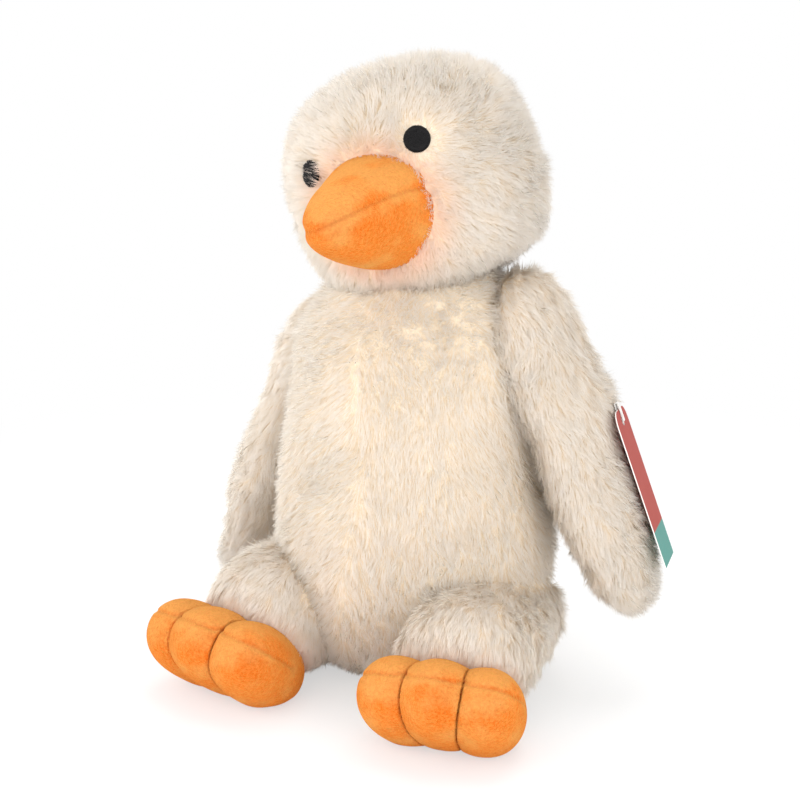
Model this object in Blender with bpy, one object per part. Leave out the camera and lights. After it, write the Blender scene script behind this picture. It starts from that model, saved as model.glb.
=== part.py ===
"""A sitting plush duck, built as it is sewn: panels of long-pile and short-pile cloth, the fibre
stuffing inside each bag, a squeaker in the belly, two embroidered eyes and a swing tag.

The frame is in metres with +Z up. The duck faces -Y and its left side is +X. The origin lies on the
floor, in the middle of the flat seat that the stuffed body presses under itself.
"""

import math
from dataclasses import dataclass, replace

import bmesh
import bpy
from mathutils import Matrix, Vector
from mathutils.bvhtree import BVHTree

# Cloth. A cloth's thickness is its backing and its pile, as far in as a light touch presses it.
FUR = 0.009
PLUSH = 0.003
SEAM_GAP = 0.0003
SEAT_CLOTH = 0.003  # what is left of a cloth's thickness where weight rests on it

# The body is an upright egg, widest at the belly, that sags where it sits.
BODY_WIDTH = 0.160
BODY_DEPTH = 0.148
BODY_BELLY = 0.082
BODY_TOP = 0.250
BODY_SQUARENESS = 0.88
BODY_TAPER = 0.12
BODY_SAG = 0.012  # how far the egg's end would reach below the floor
BASE_SEAM = 0.010  # the height of the seam round the base panel
SIDE_SEAM = 0.012  # how far behind the middle the front and back panels meet

# The head is a soft box that leans towards the duck's right shoulder.
HEAD_WIDTH = 0.143
HEAD_DEPTH = 0.118
HEAD_HEIGHT = 0.122
HEAD_SQUARENESS = 0.67
HEAD_TAPER = 0.05
NECK_DEPTH = 0.033  # how far the body's top reaches into the head
NECK_SHIFT = Vector((-0.002, 0.002))  # of the head's middle from the body's
HEAD_LEAN = math.radians(20)
HEAD_NOD = math.radians(-4)
HEAD_TURN = math.radians(5)

# The beak is a stuffed cone of short plush, sewn to the face.
BEAK_WIDTH = 0.075
BEAK_HEIGHT = 0.070
BEAK_LENGTH = 0.049  # from the face to the tip
BEAK_ROOT = 0.040  # how deep the cone's widest level lies behind the face
BEAK_HEEL = 0.020  # how much further back the cone's round end reaches
BEAK_TAPER = 0.25
BEAK_DROOP = math.radians(2)
BEAK_SWING = math.radians(-5)  # towards the duck's left
BEAK_LEVEL = -0.012  # above the head's middle

# The eyes are round embroidered patches in hollows of the pile.
EYE_DIAMETER = 0.015
EYE_THICKNESS = 0.0025
EYE_SINK = 0.0020  # how far the thread lies below the fur's surface
EYE_SPACING = 0.066
EYE_LEVEL = 0.016  # above the head's middle

# A wing is a flat bag of fur. Side 1 is the duck's left and side -1 its right, here and below.
WING_LENGTH = 0.192
WING_WIDTH = 0.072
WING_THICKNESS = 0.044
WING_SQUARENESS = 0.8
WING_BACK = 0.017  # behind the body's middle
LEFT_WING_DROP = 0.023  # from the body's top to the wing's top end
RIGHT_WING_DROP = 0.051
LEFT_WING_INSET = 0.023  # from the body's widest side in to the wing's top end
RIGHT_WING_INSET = 0.020
LEFT_WING_SPLAY = math.radians(22)
RIGHT_WING_SPLAY = math.radians(21)

# A leg is a short stuffed tube that lies on the floor.
LEG_DIAMETER = 0.074
LEG_LENGTH = 0.124
LEG_SQUARENESS = 0.5
LEG_GAP = 0.036  # between the two legs at the hips
LEG_SHIFT = 0.003  # of both legs towards the duck's left, as it was sat down
LEG_BACK = 0.044  # from the belly's front back to the leg's middle
LEG_SAG = 0.001  # how far the round leg would reach below the floor
LEG_SPLAY = math.radians(11)

# A foot is three stuffed toes side by side, tipped back on its heel.
FOOT_WIDTH = 0.086
FOOT_LENGTH = 0.068
FOOT_THICKNESS = 0.044
FOOT_AHEAD = 0.008  # from the leg's end to the foot's middle
FOOT_SAG = 0.0005  # how far the round heel would reach below the floor
FOOT_TILT = math.radians(38)
FOOT_SQUARENESS = 0.8
TOE_LAP = 0.018  # how far each toe runs into the next
TOE_FAN = math.radians(9)
TOE_SETBACK = 0.006  # how far the outer toes lie behind the middle one

# The squeaker is a blown bulb in a pocket of the stuffing, close behind the belly.
SQUEAKER_DIAMETER = 0.050
SQUEAKER_THICKNESS = 0.024
SQUEAKER_HEIGHT = 0.080

# The swing tag is a card on a ribbon loop that is sewn to the outer side of the left wing.
TAG_LENGTH = 0.088
TAG_WIDTH = 0.034
TAG_CARD = 0.0007
TAG_CORNER = 0.008  # at the top, round the hole
TAG_LOWER_CORNER = 0.0010
TAG_HOLE = 0.0060
TAG_HOLE_DROP = 0.0065  # from the card's top edge to the hole's middle
TAG_TOP = 0.011  # above the wing's middle, along the wing
TAG_TURN = math.radians(16)  # how far round to the wing's back edge the card faces
RIBBON_WIDTH = 0.0040
RIBBON = 0.0006
RIBBON_RISE = 0.0040  # how far the loop stands above the card's top edge

# How finely the round forms are cut.
ROUND_STEPS = 22
RISE_STEPS = 12
LIMB_ROUND_STEPS = 16
LIMB_RISE_STEPS = 10
TOE_ROUND_STEPS = 12
TOE_RISE_STEPS = 8
FINE_STEPS = 96
HOLE_STEPS = 20
CORNER_STEPS = 4
CREASE = math.radians(40)  # edges sharper than this stay sharp
CUTTER = 1.0  # the size of a block that stands for all the space on one side of a plane
WELD = 0.00002  # points closer than this become one

FUR_COLOUR = (0.80, 0.69, 0.56)
PLUSH_COLOUR = (0.95, 0.27, 0.04)
FIBRE_COLOUR = (0.90, 0.90, 0.88)
THREAD_COLOUR = (0.012, 0.011, 0.011)
SQUEAKER_COLOUR = (0.85, 0.86, 0.84)
CARD_COLOUR = (0.48, 0.11, 0.09)
RIBBON_COLOUR = (0.75, 0.74, 0.72)

SIDES = {"left": 1, "right": -1}
WORLD = Matrix.Identity(4)


@dataclass
class Bag:
    """A stuffed bag: a UV sphere pressed into a soft box or egg about its own +Z, put in place by a matrix.

    above and below are the heights from its widest level to its two ends. squareness is 1 for an
    ellipsoid and less for a boxier form. taper narrows the top and widens the bottom.
    """

    width: float
    depth: float
    above: float
    below: float
    place: Matrix
    squareness: float = 1.0
    taper: float = 0.0
    around: int = ROUND_STEPS
    rise: int = RISE_STEPS

    def press(self, unit, grow):
        """Where a point of the unit sphere goes, with every side moved out by grow."""
        flat = math.hypot(unit.x, unit.y)
        turn = math.atan2(unit.y, unit.x)
        height = math.copysign(abs(unit.z) ** self.squareness, unit.z)
        reach = flat**self.squareness * (1 - self.taper * height)
        end = (self.above if height > 0 else self.below) + grow
        return Vector((
            (self.width / 2 + grow) * reach * math.cos(turn),
            (self.depth / 2 + grow) * reach * math.sin(turn),
            end * height,
        ))

    def solid(self, name, grow=0.0):
        """The bag's outer form as one closed object."""
        shape = bmesh.new()
        bmesh.ops.create_uvsphere(shape, u_segments=self.around, v_segments=self.rise, radius=1)
        for vertex in shape.verts:
            vertex.co = self.place @ self.press(vertex.co.copy(), grow)
        bmesh.ops.triangulate(shape, faces=shape.faces, quad_method="FIXED")
        bmesh.ops.recalc_face_normals(shape, faces=shape.faces)
        return new_object(name, shape)


@dataclass
class Cluster:
    """Several bags that are sewn as one, such as the toes of a foot."""

    bags: list

    def solid(self, name, grow=0.0):
        first, *others = self.bags
        lobes = [bag.solid("lobe", grow) for bag in others]
        return weld(carve(first.solid(name, grow), *lobes, operation="UNION"))


def new_object(name, shape):
    """Turns a bmesh into an object and frees the bmesh."""
    mesh = bpy.data.meshes.new(name)
    shape.to_mesh(mesh)
    shape.free()
    obj = bpy.data.objects.new(name, mesh)
    bpy.context.scene.collection.objects.link(obj)
    return obj


def carve(piece, *cutters, operation="DIFFERENCE"):
    """Cuts piece by each cutter in turn, or joins or crosses them, and removes the cutters."""
    for cutter in cutters:
        boolean = piece.modifiers.new("carve", "BOOLEAN")
        boolean.operation = operation
        boolean.object = cutter
        boolean.solver = "EXACT"
        graph = bpy.context.evaluated_depsgraph_get()
        carved = bpy.data.meshes.new_from_object(piece.evaluated_get(graph))
        piece.modifiers.clear()
        piece.data = carved
        bpy.data.objects.remove(cutter)
    return piece


def weld(piece):
    """Joins the points that a cut leaves on top of one another, and drops the flaps that this leaves."""
    shape = bmesh.new()
    shape.from_mesh(piece.data)
    bmesh.ops.triangulate(shape, faces=shape.faces)
    bmesh.ops.remove_doubles(shape, verts=shape.verts, dist=WELD)
    bmesh.ops.dissolve_degenerate(shape, edges=shape.edges, dist=WELD)
    flaps = [face for face in shape.faces if {len(edge.link_faces) for edge in face.edges} >= {1, 3}]
    bmesh.ops.delete(shape, geom=flaps, context="FACES")
    shape.to_mesh(piece.data)
    shape.free()
    return piece


def half_space(frame, direction, offset=0.0):
    """A block that fills the space beyond a plane, which lies offset along direction in frame."""
    turn = Vector(direction).to_track_quat("Z", "Y").to_matrix().to_4x4()
    shape = bmesh.new()
    bmesh.ops.create_cube(shape, size=CUTTER)
    middle = Matrix.Translation((0, 0, offset + CUTTER / 2))
    bmesh.ops.transform(shape, matrix=frame @ turn @ middle, verts=shape.verts)
    return new_object("half_space", shape)


def pressed(name, form, neighbours, inset=0.0, rest=0.0):
    """A form drawn in by inset, and pressed flat by the floor and hollow by its neighbours.

    rest is the height where the floor cuts it.
    """
    piece = form.solid(name, -inset)
    if min(vertex.co.z for vertex in piece.data.vertices) < rest:
        carve(piece, half_space(WORLD, (0, 0, -1), -rest))
    return carve(piece, *(other.solid("neighbour", SEAM_GAP + inset) for other in neighbours))


def cloth(name, form, thickness, neighbours=()):
    """The cloth of a bag: its outer form with the room for the stuffing taken out."""
    room = pressed("room", form, neighbours, thickness, SEAT_CLOTH)
    return carve(pressed(name, form, neighbours), room)


def stuffing(name, form, thickness, neighbours=()):
    return pressed(name, form, neighbours, thickness + SEAM_GAP, SEAT_CLOTH + SEAM_GAP)


def panel(piece, frame, *seams):
    """Cuts cloth down to the part beyond seam planes, each a direction in frame and an offset along it."""
    for direction, offset in seams:
        carve(piece, half_space(frame, -Vector(direction), -offset - SEAM_GAP / 2))
    return piece


def clear_of(pieces, *forms):
    """Cuts pieces back to a seam's gap from each form that passes through them."""
    for piece in pieces:
        carve(piece, *(form.solid("neighbour", SEAM_GAP) for form in forms))


def open_into(pieces, parent, thickness):
    """Ends a bag's pieces at the inner side of the parent's cloth, where the two are sewn together."""
    for piece in pieces:
        carve(piece, parent.solid("parent", -thickness))


def cylinder(name, frame, radius, low, high, steps=HOLE_STEPS):
    """A closed cylinder about frame's Z, from low to high."""
    shape = bmesh.new()
    bmesh.ops.create_cone(
        shape, cap_ends=True, segments=steps, radius1=radius, radius2=radius, depth=high - low
    )
    middle = Matrix.Translation((0, 0, (low + high) / 2))
    bmesh.ops.transform(shape, matrix=frame @ middle, verts=shape.verts)
    return new_object(name, shape)


def slab(name, frame, outline, low, high):
    """An outline in frame's XY plane, pulled from low to high along its Z."""
    shape = bmesh.new()
    base = shape.faces.new([shape.verts.new((x, y, low)) for x, y in outline])
    pulled = bmesh.ops.extrude_face_region(shape, geom=[base])
    top = [item for item in pulled["geom"] if isinstance(item, bmesh.types.BMVert)]
    bmesh.ops.translate(shape, verts=top, vec=(0, 0, high - low))
    bmesh.ops.transform(shape, matrix=frame, verts=shape.verts)
    bmesh.ops.recalc_face_normals(shape, faces=shape.faces)
    return new_object(name, shape)


def rounded_box(left, right, bottom, top, radius, lower_radius=None):
    """The outline of a rectangle with round corners, as points. The lower two may have their own radius."""
    low = lower_radius or radius
    corners = (
        (right - radius, top - radius, radius),
        (left + radius, top - radius, radius),
        (left + low, bottom + low, low),
        (right - low, bottom + low, low),
    )
    outline = []
    for quarter, (x, y, radius) in enumerate(corners):
        for step in range(CORNER_STEPS + 1):
            turn = math.radians(90) * (quarter + step / CORNER_STEPS)
            outline.append((x + radius * math.cos(turn), y + radius * math.sin(turn)))
    return outline


def spin(angle, axis):
    return Matrix.Rotation(angle, 4, axis)


def body_form():
    return Bag(
        width=BODY_WIDTH,
        depth=BODY_DEPTH,
        above=BODY_TOP - BODY_BELLY,
        below=BODY_BELLY + BODY_SAG,
        place=Matrix.Translation((0, 0, BODY_BELLY)),
        squareness=BODY_SQUARENESS,
        taper=BODY_TAPER,
    )


def head_frame():
    centre = Vector((*NECK_SHIFT, BODY_TOP - NECK_DEPTH + HEAD_HEIGHT / 2))
    lean = spin(HEAD_TURN, "Z") @ spin(-HEAD_LEAN, "Y") @ spin(HEAD_NOD, "X")
    return Matrix.Translation(centre) @ lean


def head_form():
    return Bag(
        width=HEAD_WIDTH,
        depth=HEAD_DEPTH,
        above=HEAD_HEIGHT / 2,
        below=HEAD_HEIGHT / 2,
        place=head_frame(),
        squareness=HEAD_SQUARENESS,
        taper=HEAD_TAPER,
    )


def beak_frame():
    root = Matrix.Translation((0, BEAK_ROOT - HEAD_DEPTH / 2, BEAK_LEVEL))
    return head_frame() @ root @ spin(BEAK_SWING, "Z") @ spin(math.radians(90) + BEAK_DROOP, "X")


def beak_form():
    return Bag(
        width=BEAK_WIDTH,
        depth=BEAK_HEIGHT,
        above=BEAK_ROOT + BEAK_LENGTH,
        below=BEAK_HEEL,
        place=beak_frame(),
        taper=BEAK_TAPER,
    )


def wing_frame(side):
    """The wing's middle, with its outer face along side times +X and its length along +Z."""
    if side > 0:
        drop, inset, splay = LEFT_WING_DROP, LEFT_WING_INSET, LEFT_WING_SPLAY
    else:
        drop, inset, splay = RIGHT_WING_DROP, RIGHT_WING_INSET, RIGHT_WING_SPLAY
    root = Vector((side * (BODY_WIDTH / 2 - inset), WING_BACK, BODY_TOP - drop))
    hang = spin(-side * splay, "Y") @ Matrix.Translation((0, 0, -WING_LENGTH / 2))
    return Matrix.Translation(root) @ hang


def wing_form(side):
    return Bag(
        width=WING_THICKNESS,
        depth=WING_WIDTH,
        above=WING_LENGTH / 2,
        below=WING_LENGTH / 2,
        place=wing_frame(side),
        squareness=WING_SQUARENESS,
        around=LIMB_ROUND_STEPS,
        rise=LIMB_RISE_STEPS,
    )


def leg_frame(side):
    """The leg's middle, with the foot along -Y."""
    across = side * (LEG_GAP + LEG_DIAMETER) / 2 + LEG_SHIFT
    middle = Vector((across, LEG_BACK - BODY_DEPTH / 2, LEG_DIAMETER / 2 - LEG_SAG))
    return Matrix.Translation(middle) @ spin(side * LEG_SPLAY, "Z")


def leg_form(side):
    return Bag(
        width=LEG_DIAMETER,
        depth=LEG_DIAMETER,
        above=LEG_LENGTH / 2,
        below=LEG_LENGTH / 2,
        place=leg_frame(side) @ spin(math.radians(90), "X"),
        squareness=LEG_SQUARENESS,
        around=LIMB_ROUND_STEPS,
        rise=LIMB_RISE_STEPS,
    )


def foot_frame(side):
    """The foot's middle, with the toes along -Y and the top of the foot along +Z."""
    heel = FOOT_LENGTH / 2 * math.sin(FOOT_TILT)
    sole = FOOT_THICKNESS / 2 * math.cos(FOOT_TILT)
    leg = leg_frame(side)
    leg.translation.z = math.hypot(heel, sole) - FOOT_SAG
    ahead = Matrix.Translation((0, -LEG_LENGTH / 2 - FOOT_AHEAD, 0))
    return leg @ ahead @ spin(-FOOT_TILT, "X")


def foot_form(side):
    toe_width = (FOOT_WIDTH + 2 * TOE_LAP) / 3
    step = toe_width - TOE_LAP
    toes = []
    for number in (-1, 0, 1):
        shift = Matrix.Translation((number * step, abs(number) * TOE_SETBACK, 0))
        fan = spin(number * TOE_FAN, "Z") @ spin(math.radians(90), "X")
        toes.append(Bag(
            width=toe_width,
            depth=FOOT_THICKNESS,
            above=FOOT_LENGTH / 2,
            below=FOOT_LENGTH / 2,
            place=foot_frame(side) @ shift @ fan,
            squareness=FOOT_SQUARENESS,
            around=TOE_ROUND_STEPS,
            rise=TOE_RISE_STEPS,
        ))
    return Cluster(toes)


def eye_frame(side, head):
    """Where an eye lies on the fur, with +Z straight out of the face."""
    skin = replace(head, around=FINE_STEPS, rise=FINE_STEPS).solid("skin")
    graph = bpy.context.evaluated_depsgraph_get()
    tree = BVHTree.FromObject(skin, graph)
    start = head.place @ Vector((side * EYE_SPACING / 2, -CUTTER, EYE_LEVEL))
    ahead = head.place.to_3x3() @ Vector((0, 1, 0))
    point, normal, _, _ = tree.ray_cast(start, ahead)
    bpy.data.objects.remove(skin)
    return Matrix.Translation(point) @ normal.to_track_quat("Z", "Y").to_matrix().to_4x4()


def tag_frame(wing):
    """The middle of the card's inner face at its top edge: +Z out of the wing, +Y up the card.

    The card stands off the wing's outermost line by a ribbon's thickness and a gap on each side of it.
    """
    out = wing.place.to_3x3() @ Vector((math.cos(TAG_TURN), math.sin(TAG_TURN), 0))
    up = wing.place.to_3x3() @ Vector((0, 0, 1))
    across = up.cross(out)
    solid = wing.solid("outline")
    outermost = max((vertex.co.copy() for vertex in solid.data.vertices), key=out.dot)
    bpy.data.objects.remove(solid)
    middle = wing.place.translation
    corner = (
        out * (out.dot(outermost) + RIBBON + 2 * SEAM_GAP)
        + across * across.dot(outermost)
        + up * (up.dot(middle) + TAG_TOP)
    )
    turn = Matrix((across, up, out)).transposed().to_4x4()
    return Matrix.Translation(corner) @ turn


def colour(pieces, name, rgb, roughness):
    """Gives pieces one material, made once for each name, and smooth shading with sharp seams."""
    material = bpy.data.materials.new(name)
    material.use_nodes = True
    surface = material.node_tree.nodes["Principled BSDF"]
    surface.inputs["Base Color"].default_value = (*rgb, 1.0)
    surface.inputs["Roughness"].default_value = roughness
    surface.inputs["Metallic"].default_value = 0.0
    for piece in pieces:
        weld(piece)
        piece.data.materials.clear()
        piece.data.materials.append(material)
        piece.data.shade_smooth()
        piece.data.set_sharp_from_angle(angle=CREASE)


def gather(name, frame, pieces, parent=None):
    """Hangs pieces from an empty at frame, each with its origin there, and leaves them where they are."""
    group = bpy.data.objects.new(name, None)
    bpy.context.scene.collection.objects.link(group)
    group.parent = parent
    group.matrix_world = frame
    for piece in pieces:
        piece.data.transform(frame.inverted())
        piece.parent = group
    return group


def build_body(body, head, legs):
    """The body's four panels, which are open at the neck and at the hips, and its stuffing."""
    above = ((0, 0, 1), BASE_SEAM)
    front = ((0, -1, 0), -SIDE_SEAM)
    panels = [
        panel(cloth("body_base", body, FUR), WORLD, ((0, 0, -1), -BASE_SEAM)),
        panel(cloth("body_front_left", body, FUR), WORLD, above, front, ((1, 0, 0), 0.0)),
        panel(cloth("body_front_right", body, FUR), WORLD, above, front, ((-1, 0, 0), 0.0)),
        panel(cloth("body_back", body, FUR), WORLD, above, ((0, 1, 0), SIDE_SEAM)),
    ]
    fill = stuffing("body_stuffing", body, FUR)
    clear_of(panels, *legs)
    open_into([*panels[1:], fill], head, FUR)
    return panels, fill


def build_squeaker(fill):
    """A bulb in a pocket that is cut from the stuffing's front."""
    behind_belly = Vector((0, -BODY_DEPTH / 2 + FUR + SQUEAKER_THICKNESS, SQUEAKER_HEIGHT))
    bulb = Bag(
        width=SQUEAKER_DIAMETER,
        depth=SQUEAKER_DIAMETER,
        above=SQUEAKER_THICKNESS / 2,
        below=SQUEAKER_THICKNESS / 2,
        place=Matrix.Translation(behind_belly) @ spin(math.radians(90), "X"),
        around=LIMB_ROUND_STEPS,
        rise=LIMB_RISE_STEPS,
    )
    radius = SQUEAKER_DIAMETER / 2 + SEAM_GAP
    depth = SQUEAKER_THICKNESS / 2 + SEAM_GAP
    carve(fill, cylinder("pocket", bulb.place, radius, -depth, BODY_DEPTH))
    return bulb.solid("squeaker")


def build_head(head, body, beak):
    """The head's two panels, open at the neck and round the beak, and its stuffing."""
    panels = [
        panel(cloth("head_left", head, FUR), head.place, ((1, 0, 0), 0.0)),
        panel(cloth("head_right", head, FUR), head.place, ((-1, 0, 0), 0.0)),
    ]
    clear_of(panels, body, beak)
    return panels, stuffing("head_stuffing", head, FUR)


def build_beak(beak, head):
    """The beak's upper and lower panels, which meet in a seam along its sides, and its stuffing."""
    panels = [
        panel(cloth("beak_upper", beak, PLUSH), beak.place, ((0, 1, 0), 0.0)),
        panel(cloth("beak_lower", beak, PLUSH), beak.place, ((0, -1, 0), 0.0)),
    ]
    fill = stuffing("beak_stuffing", beak, PLUSH)
    open_into([*panels, fill], head, FUR)
    return panels, fill


def build_eyes(head, beak, panels):
    """Two patches of thread, each in a hollow of its head panel."""
    eyes = []
    for skin, (word, side) in zip(panels, SIDES.items()):
        place = eye_frame(side, head)
        radius = EYE_DIAMETER / 2
        depth = EYE_SINK + EYE_THICKNESS
        carve(skin, cylinder("hollow", place, radius + SEAM_GAP, -depth - SEAM_GAP, depth))
        eyes.append(cylinder("eye_" + word, place, radius, -depth, -EYE_SINK))
    clear_of(eyes, beak)
    return eyes


def build_wing(word, side, wing, neighbours):
    """A wing's outer and inner panels, and its stuffing."""
    panels = [
        panel(cloth(f"wing_{word}_outer", wing, FUR, neighbours), wing.place, ((side, 0, 0), 0.0)),
        panel(cloth(f"wing_{word}_inner", wing, FUR, neighbours), wing.place, ((-side, 0, 0), 0.0)),
    ]
    return panels, stuffing(f"wing_{word}_stuffing", wing, FUR, neighbours)


def build_leg(word, leg, foot, body):
    """A leg's one panel, which is a tube between the body and the foot, and its stuffing."""
    tube = cloth(f"leg_{word}", leg, FUR)
    fill = stuffing(f"leg_{word}_stuffing", leg, FUR)
    clear_of([tube, fill], foot)
    open_into([tube, fill], body, FUR)
    return tube, fill


def build_foot(word, side, foot):
    """A foot's top and sole, which meet in a seam round the toes, and its stuffing."""
    place = foot_frame(side)
    panels = [
        panel(cloth(f"foot_{word}_top", foot, PLUSH), place, ((0, 0, 1), 0.0)),
        panel(cloth(f"foot_{word}_sole", foot, PLUSH), place, ((0, 0, -1), 0.0)),
    ]
    return panels, stuffing(f"foot_{word}_stuffing", foot, PLUSH)


def build_tag(wing):
    """The card with its punched hole, and the ribbon loop that passes through the hole."""
    place = tag_frame(wing)
    half = TAG_WIDTH / 2
    outline = rounded_box(-half, half, -TAG_LENGTH, 0, TAG_CORNER, TAG_LOWER_CORNER)
    card = slab("tag_card", place, outline, 0, TAG_CARD)
    hole = place @ Matrix.Translation((0, -TAG_HOLE_DROP, 0))
    carve(card, cylinder("hole", hole, TAG_HOLE / 2, -TAG_CARD, 2 * TAG_CARD))
    across = place @ Matrix.Translation((0, 0, TAG_CARD / 2)) @ spin(math.radians(90), "Y")
    reach = TAG_CARD / 2 + SEAM_GAP
    bottom = -TAG_HOLE_DROP - reach
    outer = rounded_box(
        -reach - RIBBON, reach + RIBBON, bottom - RIBBON, RIBBON_RISE, reach + RIBBON
    )
    inner = rounded_box(-reach, reach, bottom, RIBBON_RISE - RIBBON, reach)
    wide = RIBBON_WIDTH / 2
    loop = slab("tag_loop", across, outer, -wide, wide)
    carve(loop, slab("inside", across, inner, -RIBBON_WIDTH, RIBBON_WIDTH))
    return card, loop


def main():
    for obj in list(bpy.data.objects):
        bpy.data.objects.remove(obj)
    body = body_form()
    head = head_form()
    beak = beak_form()
    wings = {word: wing_form(side) for word, side in SIDES.items()}
    legs = {word: leg_form(side) for word, side in SIDES.items()}
    feet = {word: foot_form(side) for word, side in SIDES.items()}

    body_panels, body_fill = build_body(body, head, legs.values())
    head_panels, head_fill = build_head(head, body, beak)
    beak_panels, beak_fill = build_beak(beak, head)
    eyes = build_eyes(head, beak, head_panels)
    squeaker = build_squeaker(body_fill)
    card, loop = build_tag(wings["left"])
    fur = [*body_panels, *head_panels]
    plush = [*beak_panels]
    fibre = [body_fill, head_fill, beak_fill]

    duck = gather("duck", WORLD, [])
    gather("body", body.place, [*body_panels, body_fill, squeaker], duck)
    gather("head", head.place, [*head_panels, head_fill, *eyes], duck)
    gather("beak", beak.place, [*beak_panels, beak_fill], duck)
    gather("tag", tag_frame(wings["left"]), [card, loop], duck)
    for word, side in SIDES.items():
        neighbours = (body, head, legs[word], feet[word])
        panels, fill = build_wing(word, side, wings[word], neighbours)
        gather("wing_" + word, wings[word].place, [*panels, fill], duck)
        fur += panels
        fibre.append(fill)
        tube, fill = build_leg(word, legs[word], feet[word], body)
        gather("hip_" + word, leg_frame(side), [tube, fill], duck)
        fur.append(tube)
        fibre.append(fill)
        panels, fill = build_foot(word, side, feet[word])
        gather("foot_" + word, foot_frame(side), [*panels, fill], duck)
        plush += panels
        fibre.append(fill)

    colour(fur, "long_fur", FUR_COLOUR, 0.95)
    colour(plush, "short_plush", PLUSH_COLOUR, 0.90)
    colour(fibre, "fibre_fill", FIBRE_COLOUR, 1.0)
    colour(eyes, "black_thread", THREAD_COLOUR, 0.45)
    colour([squeaker], "squeaker_plastic", SQUEAKER_COLOUR, 0.40)
    colour([card], "printed_card", CARD_COLOUR, 0.45)
    colour([loop], "ribbon", RIBBON_COLOUR, 0.70)


main()
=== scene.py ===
# %% [markdown]
# # A sitting plush duck
#
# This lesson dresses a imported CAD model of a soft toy: a cream duck of long fur with an orange
# beak and orange feet of short plush, black embroidered eyes and a swing tag. The CAD solids have
# the true sizes. Here each cloth gets its real surface, and fur is the main thing to learn.

import math
from dataclasses import dataclass

import bmesh
import bpy
from mathutils import Matrix, Vector, noise


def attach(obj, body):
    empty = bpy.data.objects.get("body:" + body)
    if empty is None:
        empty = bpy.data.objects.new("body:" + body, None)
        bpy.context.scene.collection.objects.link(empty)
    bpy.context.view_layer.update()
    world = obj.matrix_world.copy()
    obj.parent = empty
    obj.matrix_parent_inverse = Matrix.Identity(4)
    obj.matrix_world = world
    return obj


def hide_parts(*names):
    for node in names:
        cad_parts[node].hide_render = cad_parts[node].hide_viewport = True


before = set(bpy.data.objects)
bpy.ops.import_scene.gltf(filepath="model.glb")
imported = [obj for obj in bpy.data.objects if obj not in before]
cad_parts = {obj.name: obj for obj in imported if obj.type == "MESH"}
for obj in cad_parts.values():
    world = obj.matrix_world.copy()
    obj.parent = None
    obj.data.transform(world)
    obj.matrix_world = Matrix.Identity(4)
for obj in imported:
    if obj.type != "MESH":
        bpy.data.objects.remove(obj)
noise.seed_set(7)  # the offset of noise_vector is drawn from the clock without it
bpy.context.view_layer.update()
print("CAD nodes:", len(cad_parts))

# %% [markdown]
# ## Sizes
#
# The toy is sewn from bags. These are the same sizes, in metres, that the CAD model uses, so each
# visible bag lies where its solid lies. The duck faces -Y, its left is +X, and it sits on z = 0.

# %% Sizes of the bags
BODY = dict(width=0.160, depth=0.148, belly=0.082, top=0.250, sag=0.012)
HEAD = dict(width=0.143, depth=0.118, height=0.122, neck=0.033)
BEAK = dict(width=0.075, height=0.070, length=0.049, root=0.040, heel=0.020, level=-0.012)
EYE = dict(diameter=0.015, sink=0.0020, spacing=0.066, level=0.016)
WING = dict(length=0.192, width=0.072, thickness=0.044, back=0.017)
LEG = dict(
    diameter=0.074, length=0.124, gap=0.036, shift=0.003, back=0.044, sag=0.001,
    splay=math.radians(11),
)
FOOT = dict(
    width=0.086, length=0.068, thickness=0.044, ahead=0.008, sag=0.0005, tilt=math.radians(38),
)
TOE = dict(lap=0.018, fan=math.radians(9), setback=0.006)
TAG = dict(length=0.088, width=0.034, turn=math.radians(16))
SIDES = {"left": 1, "right": -1}


@dataclass
class Bag:
    """A soft box or egg: a sphere pressed to a width, a depth and two heights, about its own +Z."""

    width: float
    depth: float
    above: float
    below: float
    place: Matrix
    squareness: float = 1.0
    taper: float = 0.0

    def press(self, unit, grow=0.0):
        """Where a point of the unit sphere goes on the bag, with every side moved out by grow."""
        flat = math.hypot(unit.x, unit.y)
        turn = math.atan2(unit.y, unit.x)
        height = math.copysign(abs(unit.z) ** self.squareness, unit.z)
        reach = flat**self.squareness * (1 - self.taper * height)
        end = (self.above if height > 0 else self.below) + grow
        return self.place @ Vector((
            (self.width / 2 + grow) * reach * math.cos(turn),
            (self.depth / 2 + grow) * reach * math.sin(turn),
            end * height,
        ))

    def holds(self, point, grow=0.0):
        """Whether a point lies inside the bag."""
        local = self.place.inverted() @ point
        end = (self.above if local.z > 0 else self.below) + grow
        height = local.z / end
        if abs(height) >= 1:
            return False
        reach = math.hypot(local.x / (self.width / 2 + grow), local.y / (self.depth / 2 + grow))
        reach /= 1 - self.taper * height
        return reach ** (2 / self.squareness) + abs(height) ** (2 / self.squareness) < 1


def spin(angle, axis):
    return Matrix.Rotation(angle, 4, axis)


def clamp(value):
    return min(1.0, max(0.0, value))


def bell(distance, width):
    """1 at no distance, and next to nothing past two widths."""
    return math.exp(-((distance / width) ** 2))


# %% [markdown]
# The head leans towards the duck's right shoulder, and the wings hang at different heights, as on a
# toy that was sat down by hand. Each bag is placed from the bag that carries it.

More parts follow.
